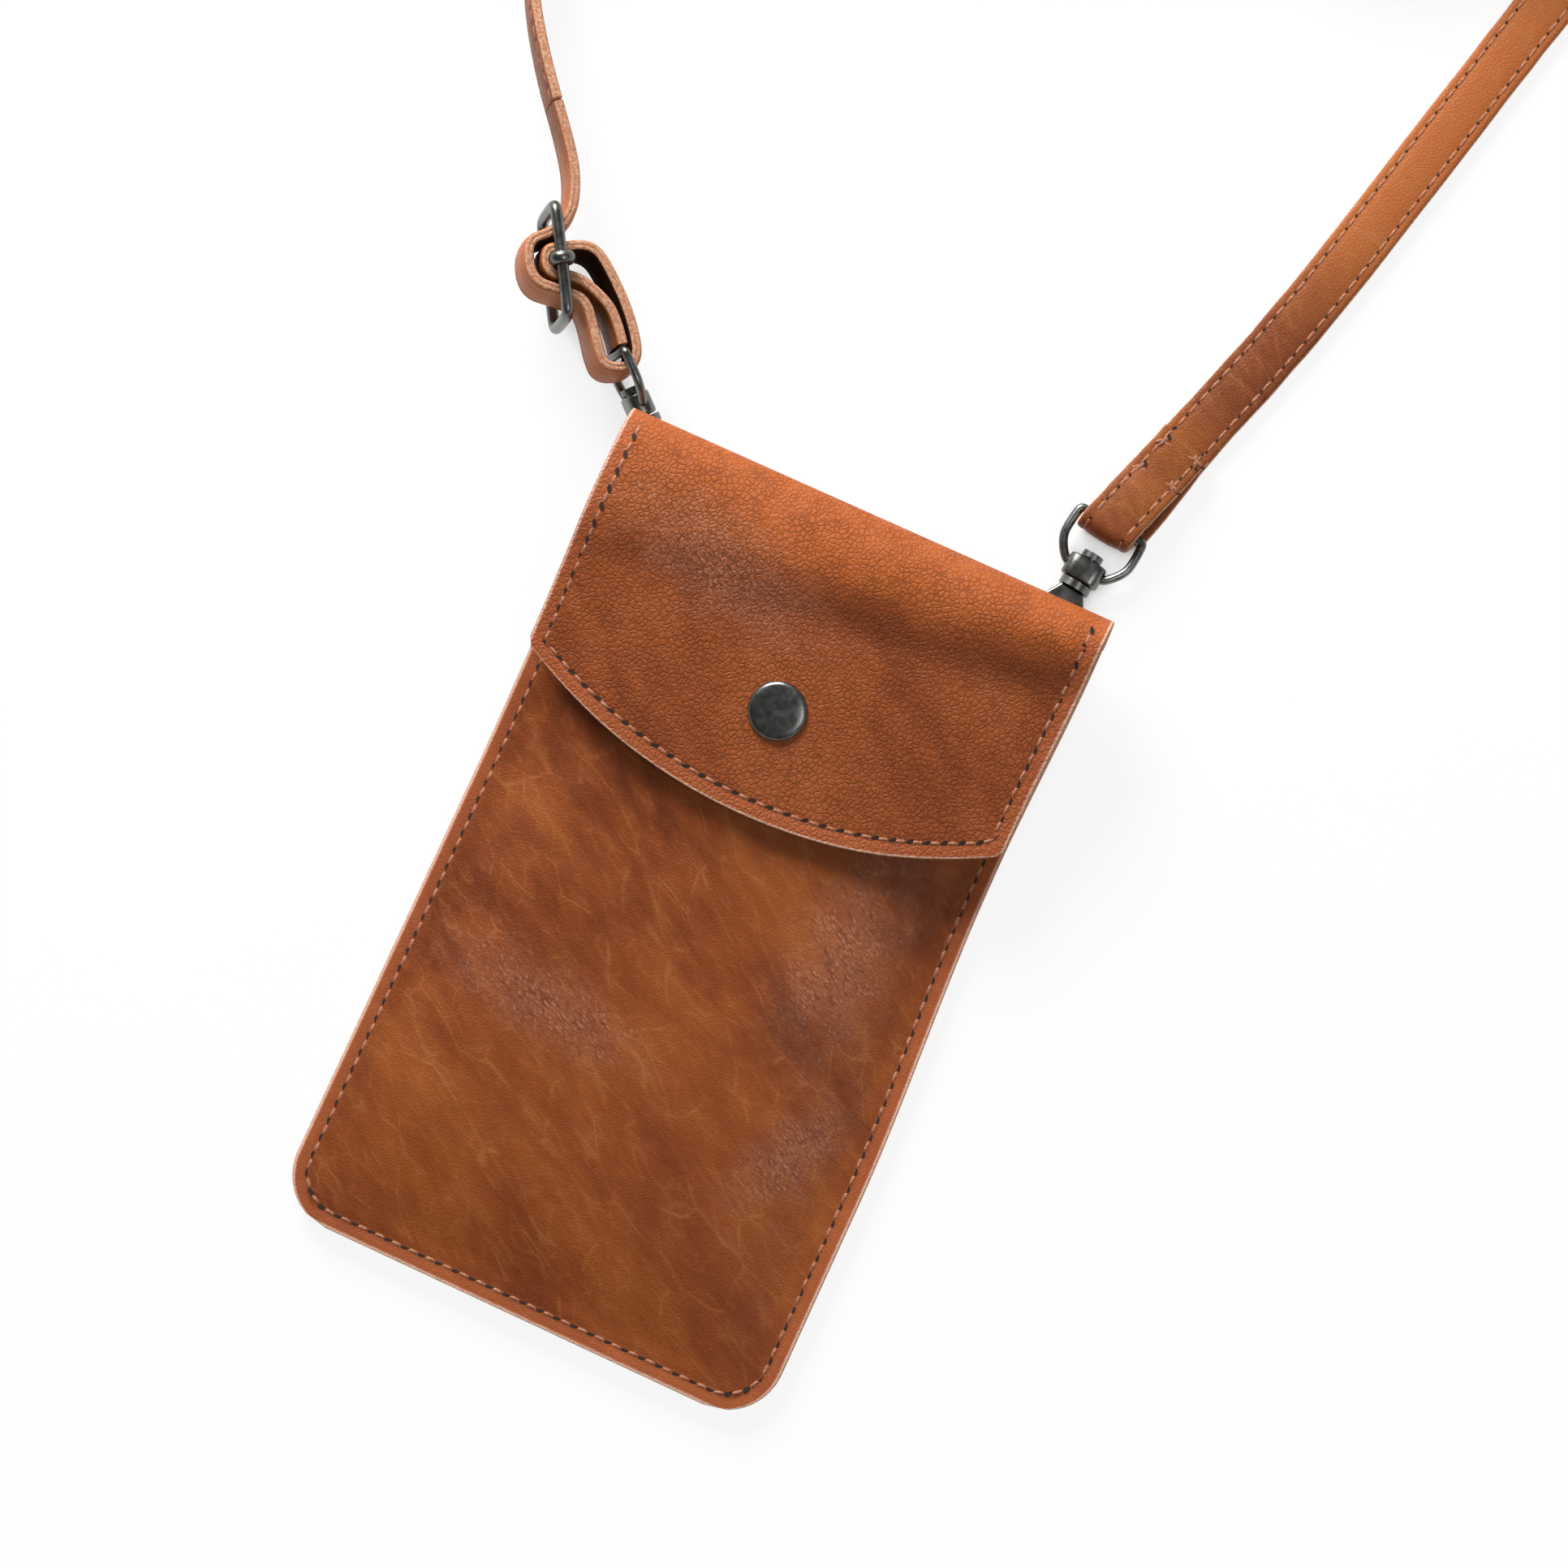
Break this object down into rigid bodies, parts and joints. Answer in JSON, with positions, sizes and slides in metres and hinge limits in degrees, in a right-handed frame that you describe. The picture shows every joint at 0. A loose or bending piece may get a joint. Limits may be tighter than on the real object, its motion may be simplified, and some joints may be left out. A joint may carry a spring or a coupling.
{
  "type": "phone pouch",
  "caption": "Upright leather phone pouch with a curved snap flap, stitched edges and a long adjustable shoulder strap held by swivel clips",
  "frame": {"origin": "middle of the pouch's outline, on the flat back it rests on", "axes": "X across the pouch, Y from its bottom edge to the fold, Z out of its front"},
  "size_m": [0.2191, 0.4729, 0.0225],
  "materials": {
    "leather": "pebbled full-grain leather, waxed, with a soft sheen",
    "suede": "unfinished flesh side, matt",
    "thread": "waxed thread",
    "hardware": "gunmetal plating, satin"
  },
  "bodies": {
    "pouch": {"back_panel": "leather", "back_lining": "suede", "front_lining": "suede", "front_panel": "leather", "seam_thread": "thread", "flap_fold": "leather", "snap_stud": "hardware", "snap_post": "hardware", "right_tab": "leather", "left_tab": "leather", "strap_right_run": "leather", "strap_twist": "leather", "strap_coil": "leather", "strap_left_run": "leather"},
    "flap": {"flap": "leather", "flap_lining": "suede", "flap_thread": "thread", "snap_cap": "hardware", "snap_shank": "hardware", "snap_socket": "hardware"},
    "right_hook": {"right_hook": "hardware", "right_gate_pin": "hardware", "right_gate_spring": "hardware"},
    "right_gate": {"right_gate": "hardware"},
    "right_eye": {"right_eye": "hardware", "strap_right_end": "leather"},
    "left_hook": {"left_hook": "hardware", "left_gate_pin": "hardware", "left_gate_spring": "hardware"},
    "left_gate": {"left_gate": "hardware"},
    "left_eye": {"left_eye": "hardware", "strap_left_loop": "leather", "slider_frame": "hardware", "slider_bar": "hardware"}
  },
  "joints": [
    {"name": "flap_hinge", "type": "hinge", "parent": "pouch", "child": "flap", "pos_m": [0, 0.0836, 0.01548], "axis": [-1, 0, 0], "range_deg": [0, 140], "deforming": ["flap_fold"]},
    {"name": "right_hook_swing", "type": "hinge", "parent": "pouch", "child": "right_hook", "pos_m": [0.0405, 0.0783, 0.0036], "axis": [0, 0, 1], "range_deg": [-15, 15], "deforming": ["strap_right_run"]},
    {"name": "right_gate_hinge", "type": "hinge", "parent": "right_hook", "child": "right_gate", "pos_m": [0.03898, 0.09058, 0.0036], "axis": [0, 0, 1], "range_deg": [0, 22], "stiffness_Nm_per_rad": 0.005, "deforming": ["right_gate_spring"]},
    {"name": "right_swivel", "type": "hinge", "parent": "right_hook", "child": "right_eye", "pos_m": [0.04301, 0.09875, 0.0036], "axis": [0.1219, 0.9925, 0], "range_deg": [-60, 60], "deforming": ["strap_right_run"]},
    {"name": "left_hook_swing", "type": "hinge", "parent": "pouch", "child": "left_hook", "pos_m": [-0.0405, 0.0783, 0.0043], "axis": [0.1342, -0.1208, 0.9836], "range_deg": [-15, 10], "deforming": ["strap_left_run"]},
    {"name": "left_gate_hinge", "type": "hinge", "parent": "left_hook", "child": "left_gate", "pos_m": [-0.05128, 0.08397, 0.00647], "axis": [0.1342, -0.1208, 0.9836], "range_deg": [0, 22], "stiffness_Nm_per_rad": 0.005, "deforming": ["left_gate_spring"]},
    {"name": "left_swivel", "type": "hinge", "parent": "left_hook", "child": "left_eye", "pos_m": [-0.05556, 0.09186, 0.00802], "axis": [-0.7309, 0.6581, 0.1805], "range_deg": [-60, 60], "deforming": ["strap_left_run"]}
  ]
}
